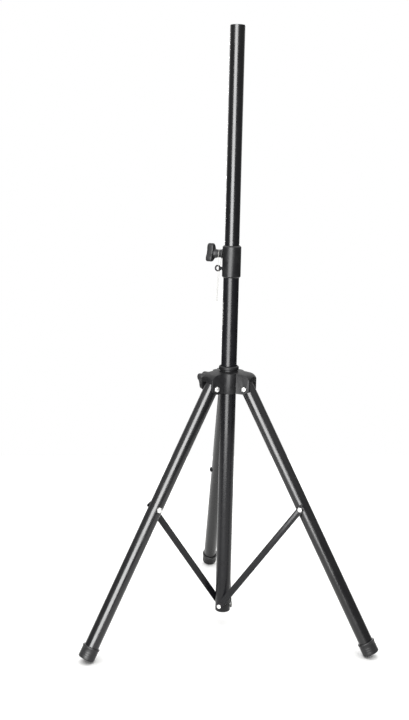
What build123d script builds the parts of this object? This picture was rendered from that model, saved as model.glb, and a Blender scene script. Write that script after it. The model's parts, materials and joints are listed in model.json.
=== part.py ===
from build123d import *
import os
from math import ceil, cos, floor, hypot, pi, radians, sin, sqrt, tan

os.makedirs("parts", exist_ok=True)

# A folding tripod stand for a loudspeaker. The column stands on the Z axis, the floor is Z = 0,
# and the three legs hang from a hub that slides on the column. A pole slides in the column.

# Stance
PIVOT_HEIGHT = 626.0        # leg pivots above the floor, legs spread
LEG_SPLAY = 29.15           # legs from the vertical, degrees
LEG_AZIMUTHS = {"rear": 90, "left": 210, "right": 330}
CLAMP_AZIMUTH = 150         # both clamp knobs and the lock pin point this way

# Clearances
FIT = 0.08                  # radial, sliding and turning fits
SEAT = 0.05                 # radial, pieces that are fixed together
FREE = 0.3                  # faces that pass each other
HUB_PLAY = 1.4              # radial, hub parts around the column

# Tubes
POLE_OD = 35.0
POLE_WALL = 1.5
POLE_LENGTH = 940.0
POLE_TOP = 1476.0
COLUMN_WALL = 1.2           # the column's bore clears the pole
COLUMN_BOTTOM = 35.5
LEG_OD = 35.0
LEG_WALL = 1.5

# Fasteners
BOLT_RADIUS = 4.0
HEAD_RIM = 2.0              # heads, nuts and spacers reach past their bolt by these
HEAD_HEIGHT = 3.4
HEAD_EDGE = 1.0
NUT_RIM = 3.0
NUT_HEIGHT = 5.0
NUT_EDGE = 2.4
SPACER_WALL = 4.5

# Struts
STRUT_ALONG = 320.0         # strut bolt below the leg pivot, along the leg
STRUT_ABOVE = 16.5          # strut pivots above the bottom of the column
STRUT_EDGE = 4.0            # bar beside its bolts
STRUT_THICKNESS = 3.0
STRUT_END = 10.0            # bar beyond each hole's centre
STRUT_CORNER = 4.0
STRUT_GAP = 0.5             # between a strut's flat side and the column or the legs
LOOSE_HOLE = 1.6            # radial, strut holes that take up the linkage's play
LOOSE_SIDE = 1.0            # sideways play at those holes

# Boots
BOOT_WALL = 2.5
BOOT_HEIGHT = 31.0
BOOT_SOLE = 5.0
BOOT_ROUND = 2.0
BEAD_HEIGHT = 4.5
BEAD_OUT = 1.2

# Top of the legs
LEG_STUB = 9.0              # leg above its pivot
PLUG_CAP = 1.5
PLUG_DEPTH = 32.0

# Hub, heights measured from the leg pivots
HUB_BELOW = 13.0
HUB_WALL = 5.0              # core around the bush
HUB_BUSH_WALL = 1.9
POCKET_WALL = 3.6           # between the core and the end of a leg's pocket
SIDE_GAP = 0.7              # around a leg in its pocket
CHEEK_WALL = 4.8            # each side of a leg
WING_ROOF = 14.0            # over a leg's pocket
WING_FALL = 4.0             # from the top of the core to the roof over the pivot
WING_NOSE = 14.0            # wing beyond the leg pivot
WING_SHOULDER_IN = 2.0      # where the top starts to slope, inside the core's edge
WING_ARCH_OUT = 2.5         # where the slope turns down, beyond the leg pivot
WING_TIP_TOP = 12.0
WING_TIP_BOTTOM = -5.0
WING_FOOT_OUT = 5.0         # where the underside turns up, beyond the leg pivot
POCKET_MOUTH = 5.7          # open end of a pocket, above the end of the leg
BOSS_IN = 6.0               # centre of a boss, inside the core's edge
BOSS_RADIUS = 20.0
HUB_ROUND = 1.6
RING_WALL = 2.5
RING_GAP = 3.0
RING_HEIGHT = 9.5
RING_LIP = 3.0
RING_CHAMFER = 2.5
RING_EDGE = 1.0

# Collar on top of the column
COLLAR_BOTTOM = 893.0
COLLAR_HEIGHT = 77.0
COLLAR_WALL = 3.5           # around the column
COLLAR_GRIP = 42.0          # column inside the collar
COLLAR_CHAMFER = 3.0
COLLAR_LIP = 3.0
BUSH_WALL = 2.4

# Clamp screws and knobs
SCREW_RADIUS = 5.0
SCREW_PITCH = 1.5
CLAMP_TURNS = 1.0           # from tight to fully loose
SHOE_RIM = 1.0              # shoe beyond the screw
SHOE_THICKNESS = 2.2
INSERT_WALL = 3.0
POLE_KNOB_UP = 56.0         # above the bottom of the collar
BOSS_PROUD = 3.5            # boss beyond the collar
BOSS_WALL = 3.0             # around the insert
HUB_KNOB_ABOVE = 9.5        # above the leg pivots
KNOB_GAP = 1.5
NECK_LENGTH = 17.0
NECK_WALL = 2.0             # around the screw, at the thin end
NECK_FLARE = 4.0
CORE_RIM = 2.5              # knob's core beyond the neck
LOBE_REACH = 25.0
LOBE_RADIUS = 8.5
LOBES = 3
POLE_KNOB_TURN = 76.0       # where the lobes stand when the clamps are tight, degrees
HUB_KNOB_TURN = 30.0
KNOB_THICKNESS = 17.0
KNOB_ROUND = 3.0
KNOB_WAIST = 7.0

# Lock pin
PIN_UP = 20.5               # above the bottom of the collar
PIN_RADIUS = 3.9
PIN_TRAVEL = 4.4            # from held out to locked
PIN_CHAMFER = 0.8
PIN_PLAY = 0.6              # radial, in the holes of the pole
PIN_PITCH = 100.0
HOLE_MARGIN = 70.0          # least distance from a hole to an end of the pole
BARREL_WALL = 2.1
BARREL_PROUD = 0.7          # barrel beyond the collar
PIN_HEAD_RIM = 0.7
PIN_HEAD_LENGTH = 5.5
PIN_HEAD_OUT = 0.6          # middle of the head beyond the ring's wire
PULL_RING_RADIUS = 6.2
PULL_RING_WIRE = 2.0

# Ends of the pole and foot of the column
GROOVE_ABOVE = 2.0
GROOVE_WIDTH = 1.0
GROOVE_DEPTH = 0.3
POLE_EDGE = 0.5
POLE_PLUG_DEPTH = 20.0
POLE_PLUG_RECESS = 1.0
PLUG_CHAMFER = 1.0
GUIDE_HEIGHT = 12.0
GUIDE_DEPTH = 20.0
GUIDE_CHAMFER = 1.5
FOOT_PLUG_CAP = 3.0
FOOT_PLUG_DEPTH = 40.0

# Swing tag on its thread: from the radius, towards the left leg, and the height
THREAD_RADIUS = 0.4
THREAD_BEND = 0.45          # share of the shorter run that a bend takes
TAG_WIDTH = 14.0
TAG_TOP = 832.0
TAG_BOTTOM = 773.0
TAG_RADIUS = 34.0
TAG_PAPER = 0.5
TAG_FRONT_SPREAD = 3.6
TAG_BACK_SPREAD = 2.6
THREAD_ROUTE = [
    (34.0, 1.2, 817.0), (33.6, 2.0, 850.0), (32.4, 3.4, 889.0), (31.6, 6.4, 924.0), (31.0, 10.8, 943.0),
    (30.8, 8.6, 956.4), (31.0, 0.3, 961.2), (31.2, -8.4, 956.6), (31.0, -10.6, 943.5),
    (31.8, -6.0, 923.0), (32.6, -3.2, 888.0), (33.8, -1.8, 849.0), (34.0, -1.0, 817.0),
]

# Tubes and the pieces that fit them, as radii
pole_radius = POLE_OD / 2
pole_bore = pole_radius - POLE_WALL
column_bore = pole_radius + FREE
column_radius = column_bore + COLUMN_WALL
leg_radius = LEG_OD / 2
leg_bore = leg_radius - LEG_WALL
boot_radius = leg_radius + BOOT_WALL
bush_bore = pole_radius + FIT
bush_outer = bush_bore + BUSH_WALL
collar_radius = column_radius + COLLAR_WALL
hub_bush_bore = column_radius + HUB_PLAY - FREE
hub_bore = hub_bush_bore + HUB_BUSH_WALL
hub_core_radius = hub_bore + HUB_WALL
ring_radius = hub_bore + RING_WALL
head_radius = BOLT_RADIUS + HEAD_RIM
nut_radius = BOLT_RADIUS + NUT_RIM
spacer_radius = BOLT_RADIUS + SPACER_WALL
shoe_radius = SCREW_RADIUS + SHOE_RIM
insert_radius = SCREW_RADIUS + INSERT_WALL
neck_thin = SCREW_RADIUS + NECK_WALL
neck_thick = neck_thin + NECK_FLARE
knob_core = neck_thick + CORE_RIM
barrel_radius = PIN_RADIUS + BARREL_WALL

# Hub around the legs
channel_half = leg_radius + SIDE_GAP
wing_width = 2 * (channel_half + CHEEK_WALL)
pocket_radius = hypot(LEG_STUB, leg_radius) + SIDE_GAP
pivot_radius = hub_core_radius + POCKET_WALL + pocket_radius
wing_reach = pivot_radius + WING_NOSE
wing_arch_top = pocket_radius + WING_ROOF
tip_radius = hypot(wing_reach, wing_width / 2)
hub_above = wing_arch_top + WING_FALL
hub_bottom = PIVOT_HEIGHT - HUB_BELOW
hub_top = PIVOT_HEIGHT + hub_above
hub_knob_height = PIVOT_HEIGHT + HUB_KNOB_ABOVE
hub_boss_centre = hub_core_radius - BOSS_IN
ring_bottom = hub_top + RING_GAP
hub_bush_top = ring_bottom + RING_HEIGHT - RING_LIP

# Legs and struts
splay = radians(LEG_SPLAY)
foot_height = (boot_radius - BOOT_ROUND) * sin(splay) + BOOT_ROUND * (1 - cos(splay))
leg_reach = (PIVOT_HEIGHT - foot_height) / cos(splay)
leg_tube_start = PLUG_CAP - LEG_STUB
leg_tube_end = leg_reach - BOOT_SOLE
strut_height = COLUMN_BOTTOM + STRUT_ABOVE
strut_bolt_radius = pivot_radius + STRUT_ALONG * sin(splay)
strut_bolt_height = PIVOT_HEIGHT - STRUT_ALONG * cos(splay)
strut_length = hypot(strut_bolt_radius, strut_bolt_height - strut_height)
strut_inner = max(column_radius, leg_radius + LOOSE_SIDE) + STRUT_GAP
strut_outer = strut_inner + STRUT_THICKNESS
nut_saddle = leg_radius - sqrt(leg_radius ** 2 - nut_radius ** 2)
spacer_saddle = leg_radius - sqrt(leg_radius ** 2 - spacer_radius ** 2)

# Collar, pole and lock pin
collar_top = COLLAR_BOTTOM + COLLAR_HEIGHT
column_top = COLLAR_BOTTOM + COLLAR_GRIP
pole_knob_height = COLLAR_BOTTOM + POLE_KNOB_UP
pole_boss_face = collar_radius + BOSS_PROUD
clamp_travel = CLAMP_TURNS * SCREW_PITCH
pole_bottom = POLE_TOP - POLE_LENGTH
pin_height = COLLAR_BOTTOM + PIN_UP
pin_tip = pole_radius + FREE + FIT
barrel_face = collar_radius + BARREL_PROUD
pull_ring_centre = barrel_face + PIN_TRAVEL + PULL_RING_RADIUS + PULL_RING_WIRE + FREE
pull_ring_near = pull_ring_centre - PULL_RING_RADIUS
first_hole = ceil((pole_bottom + HOLE_MARGIN - pin_height) / PIN_PITCH)
last_hole = floor((POLE_TOP - HOLE_MARGIN - pin_height) / PIN_PITCH)

# One row for each clamp: its height, the inner face of its shoe, the face of its boss and its knob's turn
CLAMPS = {
    "pole": (pole_knob_height, pole_radius + FREE, pole_boss_face, POLE_KNOB_TURN),
    "hub": (hub_knob_height, hub_bush_bore, hub_boss_centre + BOSS_RADIUS, HUB_KNOB_TURN),
}


def radial(azimuth):
    """The level direction away from the column."""
    return Vector(cos(radians(azimuth)), sin(radians(azimuth)), 0)


def sideways(azimuth):
    """The level direction square to a leg, on the side that its strut is on."""
    return radial(azimuth - 90)


def at(azimuth, radius, height, side=0.0):
    """A point given by its radius, its height and its distance to a leg's strut side."""
    return radial(azimuth) * radius + sideways(azimuth) * side + Vector(0, 0, height)


def upright(azimuth, side=0.0):
    """A plane that holds the column axis: x is the radius, y the height, the normal sideways."""
    return Plane(origin=at(azimuth, 0, 0, side), x_dir=radial(azimuth), z_dir=sideways(azimuth))


def crossing(azimuth, radius, height, side):
    """A plane square to a cross bolt's axis, with its origin on that axis."""
    start = at(azimuth, radius, height, side)
    return Plane(origin=start, x_dir=radial(azimuth), z_dir=sideways(azimuth))


def facing(azimuth, radius, height):
    """A plane that faces away from the column, with y upwards."""
    return Plane(origin=at(azimuth, radius, height), x_dir=sideways(azimuth) * -1, z_dir=radial(azimuth))


def turned(plane):
    """The same plane with its normal the other way."""
    return Plane(origin=plane.origin, x_dir=plane.x_dir, z_dir=-plane.z_dir)


def across_leg(azimuth, distance):
    """A plane square to a leg, this far down the leg from its pivot."""
    along = radial(azimuth) * sin(splay) - Vector(0, 0, cos(splay))
    start = at(azimuth, pivot_radius, PIVOT_HEIGHT)
    return Plane(origin=start + along * distance, x_dir=sideways(azimuth), z_dir=along)


def along_leg(azimuth):
    """A plane that holds a leg's axis: x is the distance from the axis, y goes up the leg."""
    outward = radial(azimuth) * cos(splay) + Vector(0, 0, sin(splay))
    start = at(azimuth, pivot_radius, PIVOT_HEIGHT)
    return Plane(origin=start, x_dir=outward, z_dir=sideways(azimuth))


def rod(plane, radius, length, mode=Mode.ADD):
    """A round bar or a drilled hole that starts on a plane and follows its normal."""
    with BuildSketch(plane) as section:
        Circle(radius)
    extrude(section.sketch, amount=length, mode=mode)


def tube(plane, outer, inner, length):
    """A tube that starts on a plane and follows its normal."""
    with BuildSketch(plane) as section:
        Circle(outer)
        Circle(inner, mode=Mode.SUBTRACT)
    extrude(section.sketch, amount=length)


def dome(plane, radius, height, edge):
    """A round head that starts on a plane, with a domed top above a straight edge."""
    crown = height - edge
    arc_radius = (radius ** 2 + crown ** 2) / (2 * crown)
    with BuildSketch(Plane(origin=plane.origin, x_dir=plane.x_dir, z_dir=-plane.y_dir)) as half:
        with BuildLine():
            Polyline((0, height), (0, 0), (radius, 0), (radius, edge))
            RadiusArc((radius, edge), (0, height), -arc_radius)
        make_face()
    revolve(half.sketch, axis=Axis(plane.origin, plane.z_dir))


# Column

with BuildPart() as column_tube:
    column_length = column_top - COLUMN_BOTTOM - FOOT_PLUG_CAP
    tube(Plane.XY.offset(COLUMN_BOTTOM + FOOT_PLUG_CAP), column_radius, column_bore, column_length)
    rod(facing(CLAMP_AZIMUTH, 0, pin_height), PIN_RADIUS + FREE, 2 * column_radius, Mode.SUBTRACT)
    for azimuth in LEG_AZIMUTHS.values():
        rod(crossing(azimuth, 0, strut_height, 0), BOLT_RADIUS + SEAT, 2 * column_radius, Mode.SUBTRACT)
column_tube.part.label = "column_tube"
export_step(column_tube.part, "parts/column_tube.step")

with BuildPart() as column_bottom_plug:
    rod(Plane.XY.offset(COLUMN_BOTTOM), column_radius, FOOT_PLUG_CAP)
    chamfer(column_bottom_plug.edges().group_by(Axis.Z)[0], PLUG_CHAMFER)
    rod(Plane.XY.offset(COLUMN_BOTTOM + FOOT_PLUG_CAP), column_bore - SEAT, FOOT_PLUG_DEPTH)
    for azimuth in LEG_AZIMUTHS.values():
        screw_plane = crossing(azimuth, 0, strut_height, column_radius / 2)
        rod(screw_plane, BOLT_RADIUS, 2 * column_radius, Mode.SUBTRACT)
column_bottom_plug.part.label = "column_bottom_plug"
export_step(column_bottom_plug.part, "parts/column_bottom_plug.step")

with BuildPart() as strut_pivot_screws:
    for azimuth in LEG_AZIMUTHS.values():
        screw_length = strut_outer + LOOSE_SIDE - column_radius / 2
        rod(crossing(azimuth, 0, strut_height, column_radius / 2), BOLT_RADIUS, screw_length)
        head_plane = crossing(azimuth, 0, strut_height, strut_outer + LOOSE_SIDE)
        dome(head_plane, head_radius, HEAD_HEIGHT, HEAD_EDGE)
strut_pivot_screws.part.label = "strut_pivot_screws"
export_step(strut_pivot_screws.part, "parts/strut_pivot_screws.step")

# Collar, its bush, and the lock pin's barrel

with BuildPart() as collar:
    with BuildSketch(Plane.XZ):
        with BuildLine():
            Polyline(
                (column_radius + SEAT, COLLAR_BOTTOM),
                (collar_radius - COLLAR_CHAMFER, COLLAR_BOTTOM),
                (collar_radius, COLLAR_BOTTOM + COLLAR_CHAMFER),
                (collar_radius, collar_top - COLLAR_CHAMFER),
                (collar_radius - COLLAR_CHAMFER, collar_top),
                (pole_radius + FREE, collar_top),
                (pole_radius + FREE, collar_top - COLLAR_LIP),
                (bush_outer + SEAT, collar_top - COLLAR_LIP),
                (bush_outer + SEAT, column_top),
                (column_radius + SEAT, column_top),
                close=True,
            )
        make_face()
    revolve(axis=Axis.Z)
    boss_start = (bush_outer + collar_radius) / 2
    boss_plane = facing(CLAMP_AZIMUTH, boss_start, pole_knob_height)
    rod(boss_plane, insert_radius + BOSS_WALL, pole_boss_face - boss_start)
    insert_hole = facing(CLAMP_AZIMUTH, 0, pole_knob_height)
    rod(insert_hole, insert_radius + SEAT, 2 * collar_radius, Mode.SUBTRACT)
    barrel_hole = facing(CLAMP_AZIMUTH, 0, pin_height)
    rod(barrel_hole, barrel_radius + SEAT, 2 * collar_radius, Mode.SUBTRACT)
collar.part.label = "collar"
export_step(collar.part, "parts/collar.step")

with BuildPart() as collar_bush:
    tube(Plane.XY.offset(column_top), bush_outer, bush_bore, collar_top - COLLAR_LIP - column_top)
    rod(facing(CLAMP_AZIMUTH, 0, pole_knob_height), shoe_radius + FREE, 2 * collar_radius, Mode.SUBTRACT)
collar_bush.part.label = "collar_bush"
export_step(collar_bush.part, "parts/collar_bush.step")

with BuildPart() as pin_barrel:
    barrel_start = column_radius + SEAT
    tube(
        facing(CLAMP_AZIMUTH, barrel_start, pin_height),
        barrel_radius,
        PIN_RADIUS + FIT,
        barrel_face - barrel_start,
    )
pin_barrel.part.label = "pin_barrel"
export_step(pin_barrel.part, "parts/pin_barrel.step")

# The ring passes through the head of the pin, where its wire runs upwards
ring_section = Plane(
    origin=at(CLAMP_AZIMUTH, pull_ring_near, pin_height),
    x_dir=radial(CLAMP_AZIMUTH),
    z_dir=(0, 0, 1),
)
ring_axis = Axis(at(CLAMP_AZIMUTH, pull_ring_centre, pin_height), sideways(CLAMP_AZIMUTH))

with BuildPart() as lock_pin:
    pin_head_start = pull_ring_near + PIN_HEAD_OUT - PIN_HEAD_LENGTH / 2
    rod(facing(CLAMP_AZIMUTH, pin_tip, pin_height), PIN_RADIUS, pin_head_start - pin_tip)
    pin_axis = Axis(at(CLAMP_AZIMUTH, 0, pin_height), radial(CLAMP_AZIMUTH))
    chamfer(lock_pin.edges().sort_by(pin_axis)[0], PIN_CHAMFER)
    head_plane = facing(CLAMP_AZIMUTH, pin_head_start, pin_height)
    dome(head_plane, PIN_RADIUS + PIN_HEAD_RIM, PIN_HEAD_LENGTH, PIN_HEAD_LENGTH / 2)
    with BuildSketch(ring_section):
        Circle(PULL_RING_WIRE + SEAT)
    revolve(axis=ring_axis, mode=Mode.SUBTRACT)
lock_pin.part.label = "lock_pin"
export_step(lock_pin.part, "parts/lock_pin.step")

with BuildPart() as pull_ring:
    with BuildSketch(ring_section):
        Circle(PULL_RING_WIRE)
    revolve(axis=ring_axis)
pull_ring.part.label = "pull_ring"
export_step(pull_ring.part, "parts/pull_ring.step")

# Pole

with BuildPart() as pole_tube:
    tube(Plane.XY.offset(pole_bottom), pole_radius, pole_bore, POLE_LENGTH)
    chamfer(pole_tube.edges().group_by(Axis.Z)[-1].sort_by(SortBy.RADIUS)[-1], POLE_EDGE)
    with BuildSketch(Plane.XY.offset(collar_top + GROOVE_ABOVE)):
        Circle(pole_radius + GROOVE_DEPTH)
        Circle(pole_radius - GROOVE_DEPTH, mode=Mode.SUBTRACT)
    extrude(amount=GROOVE_WIDTH, mode=Mode.SUBTRACT)
    for step in range(first_hole, last_hole + 1):
        hole_height = pin_height + step * PIN_PITCH
        rod(facing(CLAMP_AZIMUTH, 0, hole_height), PIN_RADIUS + PIN_PLAY, POLE_OD, Mode.SUBTRACT)
pole_tube.part.label = "pole_tube"
export_step(pole_tube.part, "parts/pole_tube.step")

with BuildPart() as pole_top_plug:
    plug_bottom = POLE_TOP - POLE_PLUG_RECESS - POLE_PLUG_DEPTH
    rod(Plane.XY.offset(plug_bottom), pole_bore - SEAT, POLE_PLUG_DEPTH)
    chamfer(pole_top_plug.edges().group_by(Axis.Z)[-1], PLUG_CHAMFER)
pole_top_plug.part.label = "pole_top_plug"
export_step(pole_top_plug.part, "parts/pole_top_plug.step")

with BuildPart() as pole_bottom_guide:
    rod(Plane.XY.offset(pole_bottom - GUIDE_HEIGHT), column_bore - FIT, GUIDE_HEIGHT)
    chamfer(pole_bottom_guide.edges().group_by(Axis.Z)[0], GUIDE_CHAMFER)
    rod(Plane.XY.offset(pole_bottom), pole_bore - SEAT, GUIDE_DEPTH)
pole_bottom_guide.part.label = "pole_bottom_guide"
export_step(pole_bottom_guide.part, "parts/pole_bottom_guide.step")

# Hub

with BuildPart() as hub_housing:
    with BuildSketch(Plane.XY.offset(hub_bottom)) as hub_plan:
        Circle(hub_core_radius)
        for azimuth in LEG_AZIMUTHS.values():
            with Locations(Location((0, 0, 0), (0, 0, azimuth))):
                with Locations((wing_reach / 2, 0)):
                    Rectangle(wing_reach, wing_width)
        for azimuth in LEG_AZIMUTHS.values():
            with Locations(radial(azimuth + 60) * hub_boss_centre):
                Circle(BOSS_RADIUS)
        fillet(hub_plan.vertices().filter_by(lambda v: hypot(v.X, v.Y) > wing_reach - 1), HUB_ROUND)
    extrude(amount=HUB_BELOW + hub_above)
    shoulder_radius = hub_core_radius - WING_SHOULDER_IN
    arch_start = (pivot_radius + WING_ARCH_OUT, PIVOT_HEIGHT + wing_arch_top)
    with BuildSketch(Plane.XZ):
        with BuildLine():
            Polyline(
                (tip_radius, PIVOT_HEIGHT + WING_TIP_TOP),
                (tip_radius, PIVOT_HEIGHT + WING_TIP_BOTTOM),
                (pivot_radius + WING_FOOT_OUT, hub_bottom),
                (0, hub_bottom),
                (0, hub_top),
                (shoulder_radius, hub_top),
                arch_start,
            )
            slope = Vector(*arch_start) - Vector(shoulder_radius, hub_top)
            TangentArc(arch_start, (tip_radius, PIVOT_HEIGHT + WING_TIP_TOP), tangent=slope)
        make_face()
    revolve(axis=Axis.Z, mode=Mode.INTERSECT)
    for azimuth in LEG_AZIMUTHS.values():
        with BuildSketch(upright(azimuth, -channel_half)):
            with Locations((pivot_radius, PIVOT_HEIGHT)):
                Circle(pocket_radius)
            with Locations((pivot_radius - pocket_radius, PIVOT_HEIGHT)):
                Rectangle(wing_reach, 2 * hub_above, align=(Align.MIN, Align.MAX))
            with Locations((pivot_radius, PIVOT_HEIGHT)):
                Rectangle(wing_reach, LEG_STUB + POCKET_MOUTH, align=(Align.MIN, Align.MIN))
        extrude(amount=2 * channel_half, mode=Mode.SUBTRACT)
        hole_plane = crossing(azimuth, pivot_radius, PIVOT_HEIGHT, -wing_width)
        rod(hole_plane, BOLT_RADIUS + SEAT, 2 * wing_width, Mode.SUBTRACT)
    rod(Plane.XY.offset(hub_bottom), hub_bore + SEAT, HUB_BELOW + hub_above, Mode.SUBTRACT)
    rod(facing(CLAMP_AZIMUTH, 0, hub_knob_height), insert_radius + SEAT, wing_reach, Mode.SUBTRACT)
hub_housing.part.label = "hub_housing"
export_step(hub_housing.part, "parts/hub_housing.step")

with BuildPart() as hub_bush:
    tube(Plane.XY.offset(hub_bottom), hub_bore, hub_bush_bore, hub_bush_top - hub_bottom)
    rod(facing(CLAMP_AZIMUTH, 0, hub_knob_height), shoe_radius + FREE, wing_reach, Mode.SUBTRACT)
hub_bush.part.label = "hub_bush"
export_step(hub_bush.part, "parts/hub_bush.step")

with BuildPart() as hub_top_ring:
    tube(Plane.XY.offset(ring_bottom), ring_radius, hub_bore + SEAT, RING_HEIGHT - RING_LIP)
    tube(Plane.XY.offset(hub_bush_top), ring_radius, column_radius + HUB_PLAY, RING_LIP)
    chamfer(hub_top_ring.edges().group_by(Axis.Z)[-1].sort_by(SortBy.RADIUS)[-1], RING_CHAMFER)
    chamfer(hub_top_ring.edges().group_by(Axis.Z)[0].sort_by(SortBy.RADIUS)[-1], RING_EDGE)
hub_top_ring.part.label = "hub_top_ring"
export_step(hub_top_ring.part, "parts/hub_top_ring.step")

with BuildPart() as leg_pivot_bolts:
    for azimuth in LEG_AZIMUTHS.values():
        bolt_start = -wing_width / 2
        rod(crossing(azimuth, pivot_radius, PIVOT_HEIGHT, bolt_start), BOLT_RADIUS, wing_width)
        head_plane = crossing(azimuth, pivot_radius, PIVOT_HEIGHT, wing_width / 2)
        dome(head_plane, head_radius, HEAD_HEIGHT, HEAD_EDGE)
leg_pivot_bolts.part.label = "leg_pivot_bolts"
export_step(leg_pivot_bolts.part, "parts/leg_pivot_bolts.step")

with BuildPart() as leg_pivot_nuts:
    for azimuth in LEG_AZIMUTHS.values():
        nut_plane = crossing(azimuth, pivot_radius, PIVOT_HEIGHT, -wing_width / 2)
        dome(turned(nut_plane), nut_radius, NUT_HEIGHT, NUT_EDGE)
leg_pivot_nuts.part.label = "leg_pivot_nuts"
export_step(leg_pivot_nuts.part, "parts/leg_pivot_nuts.step")

# Clamps: a shoe that presses on the tube, a threaded insert, a screw and its knob

for name, (height, shoe_face, boss_face, knob_turn) in CLAMPS.items():
    shoe_back = shoe_face + SHOE_THICKNESS
    insert_start = shoe_back + clamp_travel + FREE
    knob_start = boss_face + KNOB_GAP
    knob_depth = NECK_LENGTH + KNOB_THICKNESS / 2

    with BuildPart() as clamp_shoe:
        rod(facing(CLAMP_AZIMUTH, shoe_face, height), shoe_radius, SHOE_THICKNESS)
    clamp_shoe.part.label = f"{name}_clamp_shoe"
    export_step(clamp_shoe.part, f"parts/{name}_clamp_shoe.step")

    with BuildPart() as clamp_insert:
        insert_plane = facing(CLAMP_AZIMUTH, insert_start, height)
        tube(insert_plane, insert_radius, SCREW_RADIUS + FIT, boss_face - insert_start)
    clamp_insert.part.label = f"{name}_clamp_insert"
    export_step(clamp_insert.part, f"parts/{name}_clamp_insert.step")

    with BuildPart() as clamp_screw:
        rod(facing(CLAMP_AZIMUTH, shoe_back, height), SCREW_RADIUS, knob_start + knob_depth - shoe_back)
    clamp_screw.part.label = f"{name}_clamp_screw"
    export_step(clamp_screw.part, f"parts/{name}_clamp_screw.step")

    with BuildPart() as knob:
        with BuildSketch(facing(CLAMP_AZIMUTH, knob_start + NECK_LENGTH, height)) as knob_plan:
            Circle(knob_core)
            with PolarLocations(LOBE_REACH - LOBE_RADIUS, LOBES, start_angle=knob_turn):
                Circle(LOBE_RADIUS)
            fillet(knob_plan.vertices(), KNOB_WAIST)
        extrude(amount=KNOB_THICKNESS)
        fillet(knob.edges(), KNOB_ROUND)
        with BuildSketch(facing(CLAMP_AZIMUTH, knob_start, height)):
            Circle(neck_thin)
        with BuildSketch(facing(CLAMP_AZIMUTH, knob_start + NECK_LENGTH, height)):
            Circle(neck_thick)
        loft()
        rod(facing(CLAMP_AZIMUTH, knob_start, height), SCREW_RADIUS + SEAT, knob_depth, Mode.SUBTRACT)
    knob.part.label = f"{name}_knob"
    export_step(knob.part, f"parts/{name}_knob.step")

# Legs and struts

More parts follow.
